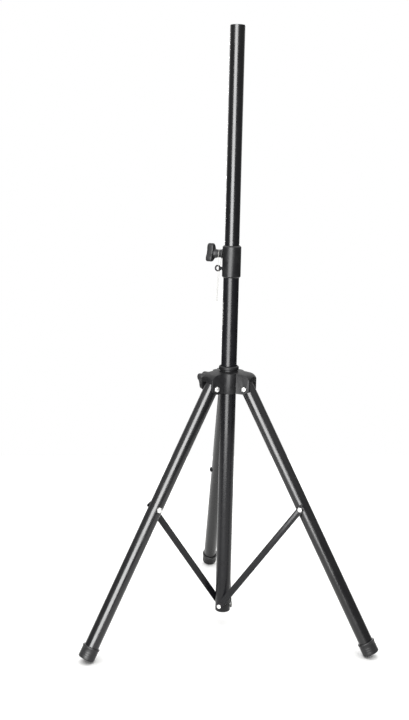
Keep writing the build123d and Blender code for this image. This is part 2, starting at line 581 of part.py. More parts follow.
for name, azimuth in LEG_AZIMUTHS.items():
    # The rear linkage is exact, and the other two take up its play at their strut bolts
    hole_play = FIT if name == "rear" else LOOSE_HOLE
    strut_bolt_axis = crossing(azimuth, strut_bolt_radius, strut_bolt_height, -LEG_OD)
    pivot_axis = crossing(azimuth, pivot_radius, PIVOT_HEIGHT, -LEG_OD)

    with BuildPart() as leg_tube:
        tube(across_leg(azimuth, leg_tube_start), leg_radius, leg_bore, leg_tube_end - leg_tube_start)
        rod(pivot_axis, BOLT_RADIUS + FIT, 2 * LEG_OD, Mode.SUBTRACT)
        rod(strut_bolt_axis, BOLT_RADIUS + SEAT, 2 * LEG_OD, Mode.SUBTRACT)
    leg_tube.part.label = f"leg_tube_{name}"
    export_step(leg_tube.part, f"parts/leg_tube_{name}.step")

    with BuildPart() as leg_top_plug:
        rod(across_leg(azimuth, -LEG_STUB), leg_radius, PLUG_CAP)
        rod(across_leg(azimuth, leg_tube_start), leg_bore - SEAT, PLUG_DEPTH)
        rod(pivot_axis, BOLT_RADIUS + FIT, 2 * LEG_OD, Mode.SUBTRACT)
    leg_top_plug.part.label = f"leg_top_plug_{name}"
    export_step(leg_top_plug.part, f"parts/leg_top_plug_{name}.step")

    with BuildPart() as boot:
        with BuildSketch(along_leg(azimuth)) as boot_profile:
            with BuildLine():
                Polyline(
                    (0, -leg_reach),
                    (boot_radius, -leg_reach),
                    (boot_radius, BOOT_HEIGHT - BEAD_HEIGHT - leg_reach),
                    (boot_radius + BEAD_OUT, BOOT_HEIGHT - BEAD_HEIGHT + BEAD_OUT - leg_reach),
                    (boot_radius + BEAD_OUT, BOOT_HEIGHT - leg_reach),
                    (leg_radius + SEAT, BOOT_HEIGHT - leg_reach),
                    (leg_radius + SEAT, BOOT_SOLE - leg_reach),
                    (0, BOOT_SOLE - leg_reach),
                    close=True,
                )
            make_face()
            fillet(boot_profile.vertices().sort_by_distance((boot_radius, -leg_reach))[0], BOOT_ROUND)
            bead_corner = (boot_radius + BEAD_OUT, BOOT_HEIGHT - leg_reach)
            fillet(boot_profile.vertices().sort_by_distance(bead_corner)[0], BEAD_OUT)
        revolve(axis=Axis(along_leg(azimuth).origin, along_leg(azimuth).y_dir))
    boot.part.label = f"boot_{name}"
    export_step(boot.part, f"parts/boot_{name}.step")

    with BuildPart() as strut_bolt:
        bolt_length = leg_radius + strut_outer + LOOSE_SIDE
        bolt_plane = crossing(azimuth, strut_bolt_radius, strut_bolt_height, -leg_radius)
        rod(bolt_plane, BOLT_RADIUS, bolt_length)
        head_plane = crossing(azimuth, strut_bolt_radius, strut_bolt_height, strut_outer + LOOSE_SIDE)
        dome(head_plane, head_radius, HEAD_HEIGHT, HEAD_EDGE)
    strut_bolt.part.label = f"strut_bolt_{name}"
    export_step(strut_bolt.part, f"parts/strut_bolt_{name}.step")

    with BuildPart() as strut_nut:
        nut_plane = crossing(azimuth, strut_bolt_radius, strut_bolt_height, -leg_radius)
        dome(turned(nut_plane), nut_radius, NUT_HEIGHT, NUT_EDGE)
        tube(nut_plane, nut_radius, BOLT_RADIUS + SEAT, nut_saddle)
        rod(across_leg(azimuth, 0), leg_radius, leg_reach, Mode.SUBTRACT)
    strut_nut.part.label = f"strut_nut_{name}"
    export_step(strut_nut.part, f"parts/strut_nut_{name}.step")

    with BuildPart() as strut_spacer:
        spacer_start = leg_radius - spacer_saddle
        spacer_plane = crossing(azimuth, strut_bolt_radius, strut_bolt_height, spacer_start)
        spacer_length = strut_inner - LOOSE_SIDE - spacer_start
        tube(spacer_plane, spacer_radius, BOLT_RADIUS + SEAT, spacer_length)
        rod(across_leg(azimuth, 0), leg_radius, leg_reach, Mode.SUBTRACT)
    strut_spacer.part.label = f"strut_spacer_{name}"
    export_step(strut_spacer.part, f"parts/strut_spacer_{name}.step")

    with BuildPart() as strut:
        middle = at(azimuth, strut_bolt_radius / 2, (strut_bolt_height + strut_height) / 2, strut_inner)
        bar_direction = at(azimuth, strut_bolt_radius, strut_bolt_height - strut_height)
        bar_plane = Plane(origin=middle, x_dir=bar_direction, z_dir=sideways(azimuth))
        with BuildSketch(bar_plane):
            RectangleRounded(strut_length + 2 * STRUT_END, 2 * (BOLT_RADIUS + STRUT_EDGE), STRUT_CORNER)
            with Locations((-strut_length / 2, 0)):
                Circle(BOLT_RADIUS + FIT, mode=Mode.SUBTRACT)
            with Locations((strut_length / 2, 0)):
                Circle(BOLT_RADIUS + hole_play, mode=Mode.SUBTRACT)
        extrude(amount=STRUT_THICKNESS)
    strut.part.label = f"strut_{name}"
    export_step(strut.part, f"parts/strut_{name}.step")

# Swing tag


def tag_point(radius, side, height):
    """A point beside the clamp knobs: side goes towards the left leg."""
    return at(CLAMP_AZIMUTH, radius, height, -side)


with BuildPart() as hang_tag:
    edge = TAG_RADIUS - TAG_WIDTH / 2
    with BuildSketch(facing(CLAMP_AZIMUTH, edge, 0)):
        with BuildLine():
            Polyline(
                (-TAG_PAPER, TAG_TOP),
                (TAG_PAPER, TAG_TOP),
                (TAG_FRONT_SPREAD + TAG_PAPER, TAG_BOTTOM),
                (TAG_FRONT_SPREAD, TAG_BOTTOM),
                (0, TAG_TOP - 2 * TAG_PAPER),
                (-TAG_BACK_SPREAD, TAG_BOTTOM),
                (-TAG_BACK_SPREAD - TAG_PAPER, TAG_BOTTOM),
                close=True,
            )
        make_face()
    extrude(amount=TAG_WIDTH)
hang_tag.part.label = "hang_tag"
export_step(hang_tag.part, "parts/hang_tag.step")

with BuildPart() as tag_thread:
    points = [tag_point(*place) for place in THREAD_ROUTE]
    runs = [end - start for start, end in zip(points, points[1:])]
    radii = []
    for before, after in zip(runs, runs[1:]):
        half_turn = radians(before.get_angle(after)) / 2
        radii.append(THREAD_BEND * min(before.length, after.length) / tan(half_turn))
    print("thread bend radii, mm:", [round(radius, 1) for radius in radii])
    with BuildLine() as thread_path:
        FilletPolyline(*points, radius=radii)
    with BuildSketch(Plane(origin=points[0], z_dir=runs[0])):
        Circle(THREAD_RADIUS)
    sweep(path=thread_path.wires()[0])
    thread_length = thread_path.wires()[0].length
print("thread length, mm:", round(thread_length, 1))
even_volume = pi * THREAD_RADIUS ** 2 * thread_length
print("thread volume against section times length:", round(tag_thread.part.volume / even_volume, 4))
tag_thread.part.label = "tag_thread"
export_step(tag_thread.part, "parts/tag_thread.step")
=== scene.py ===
# %% [markdown]
# # A folding tripod stand for a loudspeaker
#
# The stand is black steel tube on three braced legs. The measured design is already made, and this lesson
# gives it its looks: the enamel on the tubes, the moulded collar and hub, the bright bolts and the boots.
# Every piece is built in metres in the design's own frame, so nothing is fitted by eye.

# %% Load the design
import json
from math import asin, cos, degrees, pi, radians, sin

import bmesh
import bpy
from mathutils import Matrix, Vector

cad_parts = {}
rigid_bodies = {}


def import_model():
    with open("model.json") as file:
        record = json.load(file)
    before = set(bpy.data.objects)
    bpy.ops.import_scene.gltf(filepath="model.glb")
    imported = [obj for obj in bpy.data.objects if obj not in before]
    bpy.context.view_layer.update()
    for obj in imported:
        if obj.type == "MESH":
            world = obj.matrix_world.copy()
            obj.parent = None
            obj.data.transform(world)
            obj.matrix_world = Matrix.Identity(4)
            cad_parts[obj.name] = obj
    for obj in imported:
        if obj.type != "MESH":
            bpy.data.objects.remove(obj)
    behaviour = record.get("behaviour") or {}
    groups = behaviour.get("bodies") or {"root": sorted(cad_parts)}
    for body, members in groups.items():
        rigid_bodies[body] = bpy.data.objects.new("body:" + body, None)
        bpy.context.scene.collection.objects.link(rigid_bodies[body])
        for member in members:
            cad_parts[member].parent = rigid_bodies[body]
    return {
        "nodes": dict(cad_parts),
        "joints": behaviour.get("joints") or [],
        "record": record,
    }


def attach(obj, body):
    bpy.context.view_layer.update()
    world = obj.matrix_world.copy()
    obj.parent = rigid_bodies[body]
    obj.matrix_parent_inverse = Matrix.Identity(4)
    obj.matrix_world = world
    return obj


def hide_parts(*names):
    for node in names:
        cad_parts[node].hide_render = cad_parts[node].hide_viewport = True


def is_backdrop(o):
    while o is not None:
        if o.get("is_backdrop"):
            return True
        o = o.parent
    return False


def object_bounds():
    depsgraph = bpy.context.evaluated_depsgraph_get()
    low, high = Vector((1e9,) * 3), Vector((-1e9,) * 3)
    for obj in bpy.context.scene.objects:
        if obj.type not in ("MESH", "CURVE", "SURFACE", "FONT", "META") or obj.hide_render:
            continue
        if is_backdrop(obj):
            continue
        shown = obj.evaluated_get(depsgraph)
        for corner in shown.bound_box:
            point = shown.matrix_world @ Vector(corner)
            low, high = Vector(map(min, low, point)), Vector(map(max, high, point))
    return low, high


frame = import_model()
cad_low, cad_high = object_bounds()
nodes = frame["nodes"]
joints = {joint["name"]: joint for joint in frame["joints"]}
print("pieces in the design:", len(nodes), "height, m:", round(cad_high.z, 3))

# %% [markdown]
# ## Where things are
#
# The joints already say where every bolt is and which way it points. Reading them from the design means that
# the looks follow it, so a longer leg there needs no new number here.

# %% Directions
MM = 0.001
UP = Vector((0, 0, 1))
LEGS = {"rear": 90, "left": 210, "right": 330}
CLAMP_AZIMUTH = 150


def radial(azimuth):
    """The level direction away from the column."""
    return Vector((cos(radians(azimuth)), sin(radians(azimuth)), 0))


def sideways(azimuth):
    """The level direction square to a leg, on its strut's side."""
    return radial(azimuth - 90)


def place(azimuth, radius, height, side=0.0):
    """A point from its distance to the column, its height and its distance to a leg's strut side."""
    return radial(azimuth) * radius + UP * height + sideways(azimuth) * side


def stand_at(origin, axis, up=UP):
    """A matrix that takes a piece made along Z to a point, with its Z along an axis and its Y towards up."""
    z_axis = Vector(axis).normalized()
    y_axis = (Vector(up) - z_axis * z_axis.dot(up)).normalized()
    x_axis = y_axis.cross(z_axis)
    return Matrix.Translation(origin) @ Matrix((x_axis, y_axis, z_axis)).transposed().to_4x4()


def span(node, origin, axis, within=1.0):
    """How far a node reaches along an axis from a point, both ways, and its radius round that axis."""
    direction = Vector(axis).normalized()
    offsets = [vertex.co - Vector(origin) for vertex in nodes[node].data.vertices]
    reaches = [(offset.dot(direction), offset.cross(direction).length) for offset in offsets]
    near = [(along, away) for along, away in reaches if away < within]
    return min(near)[0], max(near)[0], max(away for along, away in near)


def shown(name, data):
    """A new object in the scene, at the origin."""
    made = bpy.data.objects.new(name, data)
    bpy.context.scene.collection.objects.link(made)
    return made


print("legs stand at, degrees:", LEGS)

# %% Measures from the design
hub_pivot = Vector(joints["hub_turn"]["pos_m"])
strut_bolt = Vector(joints["leg_rear_turn"]["pos_m"])
strut_foot = Vector(joints["leg_fold"]["pos_m"])
pivot_radius = hub_pivot.y
leg_line = (strut_bolt - hub_pivot).normalized()
print("legs splay, degrees:", round(degrees(asin(leg_line.y)), 2))


def leg_axis(azimuth):
    """The unit direction down a leg."""
    return radial(azimuth) * leg_line.y + UP * leg_line.z


# %% [markdown]
# ## The camera
#
# The stand is seen from a little above its middle, through a normal lens, from the front and slightly to the
# left of the line between the two front legs. A camera in Blender looks along its own -Z, so its matrix is
# made from the three directions that it should have: right, up and back.

# %% Camera
CAMERA_PLACE = Vector((-0.2584, -2.3693, 1.1481))
CAMERA_TURN = -4.777
CAMERA_DOWN = 10.91
CAMERA_ROLL = -1.233
LENS = 49.45

turn = Matrix.Rotation(radians(CAMERA_TURN), 3, "Z")
tilt = Matrix.Rotation(radians(-CAMERA_DOWN), 3, "X")
roll = Matrix.Rotation(radians(CAMERA_ROLL), 3, "Y")
look = turn @ tilt @ roll
right, ahead, above = look.col[0], look.col[1], look.col[2]
camera_data = bpy.data.cameras.new("camera")
camera_data.sensor_fit = "VERTICAL"
camera_data.sensor_height = 36.0
camera_data.sensor_width = 36.0
camera_data.lens = LENS
camera_data.clip_end = 100.0
camera = shown("camera", camera_data)
camera_axes = Matrix((right, above, -ahead)).transposed().to_4x4()
camera.matrix_world = Matrix.Translation(CAMERA_PLACE) @ camera_axes
bpy.context.scene.camera = camera
print("camera height, m:", CAMERA_PLACE.z)

# %% [markdown]
# ## Colour and nodes
#
# Colours are written as the hex values that a paint chart gives. A shader works in linear light, so one
# function turns them. A second small function adds a node with its settings and links: every material
# and every Geometry Nodes tree below is then a short list of nodes. It leaves the inputs to a third, which
# also serves the shader that each new material already has.

# %% Helpers for nodes


def linear(hex_colour):
    """A linear RGBA colour from an sRGB hex value."""
    channels = []
    for start in (1, 3, 5):
        value = int(hex_colour[start:start + 2], 16) / 255
        channels.append(value / 12.92 if value <= 0.04045 else ((value + 0.055) / 1.055) ** 2.4)
    return (*channels, 1.0)


def feed(node, **inputs):
    """Gives inputs their values or another node's output. An underscore stands for a space."""
    for name, value in inputs.items():
        choices = [socket for socket in node.inputs if socket.enabled]
        if name.startswith("input_"):
            socket = choices[int(name[6:])]
        else:
            socket = next(choice for choice in choices if choice.name.replace(" ", "_") == name)
        if isinstance(value, bpy.types.NodeSocket):
            node.id_data.links.new(value, socket)
        else:
            socket.default_value = value


def add(tree, kind, settings=None, **inputs):
    """Adds a node with its settings, and feeds its inputs."""
    node = tree.nodes.new(kind)
    for name, value in (settings or {}).items():
        setattr(node, name, value)
    feed(node, **inputs)
    return node


print("sRGB #808080 is this bright in linear light:", round(linear("#808080")[0], 3))

# %% [markdown]
# ## One recipe for every finish
#
# A flat colour looks like a drawing. A real surface is handled and worn, so its gloss and its tone change in
# patches, and it has a grain. All three are noise patterns of a real size on the piece's own coordinates,
# which are the design's frame in metres. One recipe mixes them for paint, plastic, rubber, metal and card,
# and each finish below is its numbers. What is the same all over the surface goes straight to the shader.

# %% The recipe
PATTERN_MIDDLE = (0.35, 0.7)
COLOUR_RESULT = 2


def finish(name, tones, worn, wear, handled=None, gloss=None, grain=None, depth_mm=0.0, **uniform):
    """A finish in two tones.

    worn, handled and grain are patterns: size in millimetres, detail and roughness. wear is where in its
    pattern the second tone starts and is strongest, and how strong. gloss is the range of the roughness.
    """
    made = bpy.data.materials.new(name)
    made.use_nodes = True
    tree = made.node_tree
    shader = tree.nodes["Principled BSDF"]
    feed(shader, **uniform)
    where = add(tree, "ShaderNodeTexCoord").outputs["Object"]
    patterns = {}
    for size_mm, detail, rough in filter(None, (worn, handled, grain)):
        values = {"Scale": 1 / (size_mm * MM), "Detail": detail, "Roughness": rough}
        noise = add(tree, "ShaderNodeTexNoise", Vector=where, **values)
        patterns[size_mm, detail, rough] = noise.outputs[0]
    start, end, most = wear
    limits = {"From_Min": start, "From_Max": end, "To_Min": 0.0, "To_Max": most}
    share = add(tree, "ShaderNodeMapRange", Value=patterns[worn], **limits).outputs[0]
    first, second = (linear(tone) for tone in tones)
    shade = add(tree, "ShaderNodeMix", {"data_type": "RGBA"}, Factor=share, A=first, B=second)
    feed(shader, Base_Color=shade.outputs[COLOUR_RESULT])
    if gloss:
        limits = dict(zip(("From_Min", "From_Max", "To_Min", "To_Max"), (*PATTERN_MIDDLE, *gloss)))
        feed(shader, Roughness=add(tree, "ShaderNodeMapRange", Value=patterns[handled], **limits).outputs[0])
    if grain:
        raised = add(tree, "ShaderNodeBump", Height=patterns[grain], Distance=depth_mm * MM)
        feed(shader, Normal=raised.outputs[0])
    return made


print("one millimetre is", MM, "m")

# %% [markdown]
# ## Enamel and powder coat on the tubes
#
# The pole and the legs are steel tube with a gloss black baked enamel. It gives a bright line along the
# tube, which wavers a little because the paint is never quite flat: that is the orange peel, about 3 mm
# across. The column and the struts have a powder coat, which is less glossy and has a finer, deeper grain.
# Both gather a little dust, so their roughness is not the same all over. The roughness could be one number,
# but a pattern in it is what tells the eye that the tube has been handled.

# %% Gloss black baked enamel
enamel = finish(
    "gloss_black_baked_enamel",
    tones=("#070708", "#121214"),
    worn=(6, 6.0, 0.7),
    wear=(0.62, 0.74, 0.35),
    handled=(55, 5.0, 0.62),
    gloss=(0.19, 0.3),
    grain=(3.2, 1.0, 0.5),
    depth_mm=0.012,
    IOR=1.5,
    Specular_IOR_Level=0.48,
)
print("finish:", enamel.name)

# %% Semi-gloss powder coat
coat = finish(
    "black_powder_coat",
    tones=("#08080a", "#111113"),
    worn=(9, 5.0, 0.5),
    wear=(0.55, 0.75, 0.4),
    handled=(40, 5.0, 0.6),
    gloss=(0.24, 0.34),
    grain=(1.6, 2.0, 0.5),
    depth_mm=0.02,
    IOR=1.5,
    Specular_IOR_Level=0.29,
)
print("finish:", coat.name)

# %% [markdown]
# ## Moulded plastic, nylon and rubber
#
# The collar and the hub are moulded in black glass-filled nylon. A spark-eroded mould leaves a grain about a
# millimetre wide, which spreads the light into a soft grey band, and takes away the mirror part of it. That
# is why the specular level is low. The hub has the coarser grain, and the knobs are a little rougher still.
# The boots are a darker and duller rubber that picks up dust.

# %% Moulded finishes
HANDLING_MARKS = (18, 6.0, 0.65)
LESS_ROUGH, MORE_ROUGH = 0.06, 0.08


def moulded(name, tones, rough, level, grain_mm, depth_mm):
    """A moulded black plastic or rubber with a grained skin and faint handling marks."""
    return finish(
        name,
        tones,
        worn=HANDLING_MARKS,
        wear=(0.42, 0.72, 1.0),
        handled=HANDLING_MARKS,
        gloss=(rough - LESS_ROUGH, rough + MORE_ROUGH),
        grain=(grain_mm, 2.0, 0.5),
        depth_mm=depth_mm,
        IOR=1.49,
        Specular_IOR_Level=level,
    )


collar_plastic = moulded("moulded_glass_filled_nylon", ("#0b0b0c", "#131314"), 0.38, 0.28, 0.9, 0.03)
hub_plastic = moulded("coarse_glass_filled_nylon", ("#0b0b0c", "#131314"), 0.4, 0.19, 1.2, 0.04)
knob_plastic = moulded("moulded_knob_plastic", ("#0c0c0d", "#131314"), 0.42, 0.26, 1.2, 0.04)
plug_plastic = moulded("moulded_plug_plastic", ("#0c0c0d", "#151516"), 0.5, 0.3, 1.0, 0.03)
bush_nylon = moulded("natural_black_nylon", ("#0c0c0d", "#141415"), 0.38, 0.3, 1.5, 0.01)
boot_rubber = moulded("moulded_black_rubber", ("#0a0a0b", "#131314"), 0.46, 0.36, 1.1, 0.05)
print("materials so far:", len(bpy.data.materials))

# %% [markdown]
# ## Metals, card and thread
#
# The bolts and nuts are zinc plated, so they are the brightest thing on the stand. The clamp screws and the
# pin with its ring are blackened steel, lighter where it has been handled. The left strut's rivet and the
# rear strut's cap nut are zinc like the rest, but are given the blackened steel as painted shade, for the
# shade that they are in. A metal keeps the default IOR, because its colour is its reflection. The tag is
# white card, matt with faint fibres. Its thread is grey cotton, whose twist shows as a fine slanting line
# every 1.5 mm.

# %% Metals


def metal(name, tones, gloss, patch_mm):
    """A metal whose polish and tone vary in patches."""
    patches = (patch_mm, 5.0, 0.6)
    wear = (*PATTERN_MIDDLE, 1.0)
    return finish(name, tones, patches, wear, patches, gloss, (0.8, 3.0, 0.5), 0.008, Metallic=1.0)


zinc = metal("bright_zinc_plate", ("#dcdcda", "#f4f4f2"), (0.38, 0.5), 4)
dark_steel = metal("blackened_steel", ("#161617", "#38383a"), (0.34, 0.5), 5)
brass = metal("turned_brass", ("#a98847", "#d1b063"), (0.25, 0.4), 3)
print("metals:", zinc.name, dark_steel.name, brass.name)

# %% Card
FIBRES = (1.5, 6.0, 0.7)
fibre_wear = (*PATTERN_MIDDLE, 1.0)
card_tones = ("#e4e2dc", "#f6f5f2")
card = finish(
    "uncoated_white_card", card_tones, FIBRES, fibre_wear, grain=FIBRES, depth_mm=0.03, Roughness=0.8
)
print("finish:", card.name)

# %% Cotton
TWIST_MM = 1.5
WAVES_PER_UNIT = 20 / (2 * pi)
cotton = bpy.data.materials.new("twisted_cotton_thread")
cotton.use_nodes = True
yarn = cotton.node_tree
yarn_shader = yarn.nodes["Principled BSDF"]
along = add(yarn, "ShaderNodeTexCoord").outputs["Object"]
bands = 1 / (WAVES_PER_UNIT * TWIST_MM * MM)
twist = add(yarn, "ShaderNodeTexWave", {"bands_direction": "DIAGONAL"}, Vector=along, Scale=bands)
plies = {"Factor": twist.outputs["Fac"], "A": linear("#73726e"), "B": linear("#8a8984")}
yarn_shade = add(yarn, "ShaderNodeMix", {"data_type": "RGBA"}, **plies)
yarn_bump = add(yarn, "ShaderNodeBump", Height=twist.outputs["Fac"], Distance=0.05 * MM)
yarn_colour = yarn_shade.outputs[COLOUR_RESULT]
feed(yarn_shader, Roughness=0.85, Base_Color=yarn_colour, Normal=yarn_bump.outputs[0])
print("materials:", len(bpy.data.materials))

# %% [markdown]
# ## Dress the design's own pieces
#
# A tube that is already the right shape only needs its finish. The list goes by the record's material slots,
# so that every piece of one slot gets one finish.

# %% Finishes by slot
FINISHES = {
    "painted_steel_black": coat,
    "gloss_tube_black": enamel,
    "plastic_black": collar_plastic,
    "knob_plastic": knob_plastic,
    "nylon": bush_nylon,
    "rubber": boot_rubber,
    "zinc_steel": zinc,
    "dark_steel": dark_steel,
    "brass": brass,
    "card_white": card,
    "thread": cotton,
}
slot_of = {entry["node"]: entry["material_slot"] for entry in frame["record"]["subparts"]}
body_of = {
    node: body for body, members in frame["record"]["behaviour"]["bodies"].items() for node in members
}
for node, slot in slot_of.items():
    chosen = FINISHES[slot]
    if "plug" in node or "guide" in node:
        chosen = plug_plastic
    elif "clamp_screw" in node:
        chosen = dark_steel
    elif node.startswith("hub") and slot == "plastic_black":
        chosen = hub_plastic
    nodes[node].data.materials.clear()
    nodes[node].data.materials.append(chosen)
print("pieces dressed:", len(slot_of))

# %% [markdown]
# ## From a mesh to a piece
#
# Each new piece takes the place of one of the design's pieces. One function does what every piece needs: a
# finish, smooth shading with its real edges kept sharp, the body that it rides on, and the piece that it
# stands for. Doubles are merged and the faces are turned outwards before that. A modifier is worked out
# on an object that is only there to hold it, so what comes out is a plain mesh.

# %% Make a piece
SHARP_ANGLE = 32.0
SAME_POINT = 0.002 * MM


def closed(mesh):
    """Merges doubled points, turns faces outwards and counts the edges that don't close."""
    work = bmesh.new()
    work.from_mesh(mesh)
    bmesh.ops.remove_doubles(work, verts=work.verts, dist=SAME_POINT)
    bmesh.ops.recalc_face_normals(work, faces=work.faces)
    open_edges = sum(not edge.is_manifold for edge in work.edges)
    work.to_mesh(mesh)
    work.free()
    return open_edges


def modified(mesh, kind, settings):
    """The plain mesh that one modifier makes of a mesh."""
    holder = shown("holder", mesh)
    modifier = holder.modifiers.new(kind.lower(), kind)
    for name, value in settings.items():
        if hasattr(modifier, name):
            setattr(modifier, name, value)
        else:
            modifier[name] = value
    drawn = holder.evaluated_get(bpy.context.evaluated_depsgraph_get())
    result = bpy.data.meshes.new_from_object(drawn)
    bpy.data.objects.remove(holder)
    return result


def piece_from(mesh, name, node, chosen=None):
    """A piece that stands for one node of the design, on that node's body and with its finish."""
    mesh.materials.clear()
    mesh.materials.append(chosen or FINISHES[slot_of[node]])
    mesh.shade_smooth()
    mesh.set_sharp_from_angle(angle=radians(SHARP_ANGLE))
    made = shown(name, mesh)
    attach(made, body_of[node])
    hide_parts(node)
    return made


print("edges over", SHARP_ANGLE, "degrees stay sharp")

# %% [markdown]
# ## Softened mouldings and bars
#
# A moulded edge is never sharp: the mould's own edge has a radius of about a millimetre, and the light that
# it catches draws the outline of the hub and the collar. The design's piece is copied, its loose triangles
# are merged to flat faces, and a Bevel modifier rounds the edges. A bevel by angle leaves the round faces,
# which are many small flat ones, as they are.

# %% Softened copies
EDGE_RADII = {
    "hub_housing": 1.2,
    "collar": 0.8,
    "hub_top_ring": 0.6,
    "strut_rear": 0.7,
    "strut_left": 0.7,
    "strut_right": 0.7,
}


def softened(node, edge_mm):
    """A copy of a node with its edges rounded by a real radius."""
    mesh = nodes[node].data.copy()
    work = bmesh.new()
    work.from_mesh(mesh)
    bmesh.ops.remove_doubles(work, verts=work.verts, dist=SAME_POINT)
    bmesh.ops.dissolve_limit(work, angle_limit=radians(1.0), verts=work.verts, edges=work.edges)
    work.to_mesh(mesh)
    work.free()
    mesh.shade_smooth()
    rounding = {
        "width": edge_mm * MM,
        "segments": 3,
        "limit_method": "ANGLE",
        "angle_limit": radians(SHARP_ANGLE),
        "miter_outer": "MITER_ARC",
        "harden_normals": True,
    }
    return modified(mesh, "BEVEL", rounding)


for node, edge_mm in EDGE_RADII.items():
    softened_mesh = softened(node, edge_mm)
    piece_from(softened_mesh, f"softened_{node}", node, nodes[node].data.materials[0])
    print(node, "edge radius, mm:", edge_mm, "faces:", len(softened_mesh.polygons))

# %% [markdown]
# ## Domed rivets and cap nuts
#
# Nine bolts and screws and six nuts hold the legs and the struts, and all are one shape with other sizes: a
# base, a dome on it and a shank under it. The bolts and screws have a plain round head, and the nuts have a
# hexagon base. They repeat, so Geometry Nodes make them: one tree with its sizes as named inputs puts a
# fastener on every point of a small mesh, turned to an arrow that the point carries. The dome is the upper
# half of a sphere, pressed to its height, and the sphere's lower half is pressed into a flat foot.

# %% The fastener tree
SIZES = {
    "Base Sides": ("NodeSocketInt", 40),
    "Base Radius": ("NodeSocketFloat", 6 * MM),
    "Base Height": ("NodeSocketFloat", 1 * MM),
    "Base Depth": ("NodeSocketFloat", 0.0),
    "Dome Radius": ("NodeSocketFloat", 6 * MM),
    "Dome Height": ("NodeSocketFloat", 2 * MM),
    "Shank Radius": ("NodeSocketFloat", 4 * MM),
    "Shank Length": ("NodeSocketFloat", 20 * MM),
    "Finish": ("NodeSocketMaterial", None),
}
fastener_tree = bpy.data.node_groups.new("domed_fasteners", "GeometryNodeTree")
outside = fastener_tree.interface
outside.new_socket("Points", in_out="INPUT", socket_type="NodeSocketGeometry")
for name, (kind, value) in SIZES.items():
    socket = outside.new_socket(name, in_out="INPUT", socket_type=kind)
    if value is not None:
        socket.default_value = value
outside.new_socket("Fasteners", in_out="OUTPUT", socket_type="NodeSocketGeometry")
given = add(fastener_tree, "NodeGroupInput").outputs
print("sizes that the tree takes:", list(SIZES))

# %% The dome
ball = add(fastener_tree, "GeometryNodeMeshUVSphere", Segments=40, Rings=24, Radius=1.0).outputs[0]
spot = add(fastener_tree, "GeometryNodeInputPosition").outputs[0]
across, aside, upwards = add(fastener_tree, "ShaderNodeSeparateXYZ", Vector=spot).outputs
lifted = add(fastener_tree, "ShaderNodeMath", {"operation": "MAXIMUM"}, input_0=upwards, input_1=0.0)
half_ball = add(fastener_tree, "ShaderNodeCombineXYZ", X=across, Y=aside, Z=lifted.outputs[0])
dome_sizes = {"X": given["Dome Radius"], "Y": given["Dome Radius"], "Z": given["Dome Height"]}
stretch = add(fastener_tree, "ShaderNodeCombineXYZ", **dome_sizes)
seat_height = add(fastener_tree, "ShaderNodeCombineXYZ", Z=given["Base Height"])
pressed_from = {"input_0": half_ball.outputs[0], "input_1": stretch.outputs[0]}
pressed_from["input_2"] = seat_height.outputs[0]
pressed = add(fastener_tree, "ShaderNodeVectorMath", {"operation": "MULTIPLY_ADD"}, **pressed_from)
moved = {"Geometry": ball, "Position": pressed.outputs[0]}
dome = add(fastener_tree, "GeometryNodeSetPosition", **moved).outputs[0]
print("nodes so far:", len(fastener_tree.nodes))

# %% The base and the shank


def upright_bar(sides, radius, bottom, top):
    """A closed bar along Z from one height to another."""
    ends = {"input_0": top, "input_1": bottom}
    length = add(fastener_tree, "ShaderNodeMath", {"operation": "SUBTRACT"}, **ends).outputs[0]
    both = add(fastener_tree, "ShaderNodeMath", {"operation": "ADD"}, **ends).outputs[0]
    middle = add(fastener_tree, "ShaderNodeMath", {"operation": "MULTIPLY"}, input_0=both, input_1=0.5)
    sizes = {"Vertices": sides, "Radius": radius, "Depth": length}
    bar = add(fastener_tree, "GeometryNodeMeshCylinder", {"fill_type": "NGON"}, **sizes).outputs[0]
    move = add(fastener_tree, "ShaderNodeCombineXYZ", Z=middle.outputs[0]).outputs[0]
    return add(fastener_tree, "GeometryNodeTransform", Geometry=bar, Translation=move).outputs[0]


times = {"operation": "MULTIPLY"}
foot = add(fastener_tree, "ShaderNodeMath", times, input_0=given["Base Depth"], input_1=-1.0).outputs[0]
tip = add(fastener_tree, "ShaderNodeMath", times, input_0=given["Shank Length"], input_1=-1.0).outputs[0]
base = upright_bar(given["Base Sides"], given["Base Radius"], foot, given["Base Height"])
shank = upright_bar(24, given["Shank Radius"], tip, foot)
fastener = add(fastener_tree, "GeometryNodeJoinGeometry")
for part in (dome, base, shank):
    fastener_tree.links.new(part, fastener.inputs[0])
print("nodes so far:", len(fastener_tree.nodes))

# %% One fastener on every point
arrow = add(fastener_tree, "GeometryNodeInputNamedAttribute", {"data_type": "FLOAT_VECTOR"}, Name="arrow")
heading = add(fastener_tree, "FunctionNodeAlignRotationToVector", {"axis": "Z"}, Vector=arrow.outputs[0])
spots = {"Points": given["Points"], "Instance": fastener.outputs[0], "Rotation": heading.outputs[0]}
repeated = add(fastener_tree, "GeometryNodeInstanceOnPoints", **spots).outputs[0]
realized = add(fastener_tree, "GeometryNodeRealizeInstances", Geometry=repeated).outputs[0]
finished = add(fastener_tree, "GeometryNodeSetMaterial", Geometry=realized, Material=given["Finish"])
add(fastener_tree, "NodeGroupOutput", Fasteners=finished.outputs[0])
print("nodes in the tree:", len(fastener_tree.nodes))

# %% Place the fasteners


